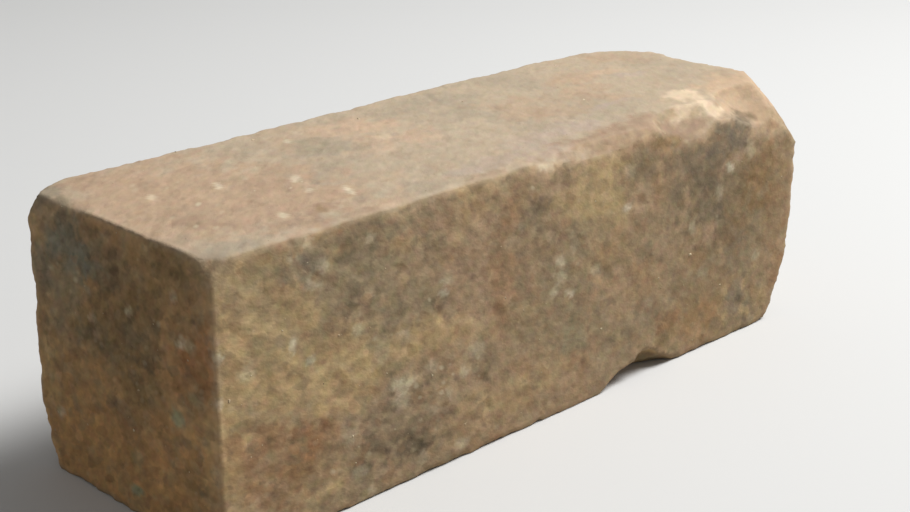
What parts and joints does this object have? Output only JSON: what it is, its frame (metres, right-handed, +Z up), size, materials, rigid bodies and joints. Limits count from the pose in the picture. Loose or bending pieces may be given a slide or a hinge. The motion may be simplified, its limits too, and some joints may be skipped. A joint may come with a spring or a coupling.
{
  "type": "clay brick",
  "caption": "Square-section solid clay paving brick, tumbled, with rounded arrises, worn-off corners and spalls along the edges of one long face.",
  "frame": {"origin": "middle of the lower bed, the long face that the brick lies on", "axes": "+X along the length, towards the end with the most worn corners; +Z up, across the beds; -Y out of the front face, the long face with the spalled edges"},
  "size_m": [0.2, 0.067, 0.067],
  "materials": {
    "fired_clay": "matte, rough"
  },
  "bodies": {
    "root": {"brick": "fired_clay"}
  },
  "joints": []
}
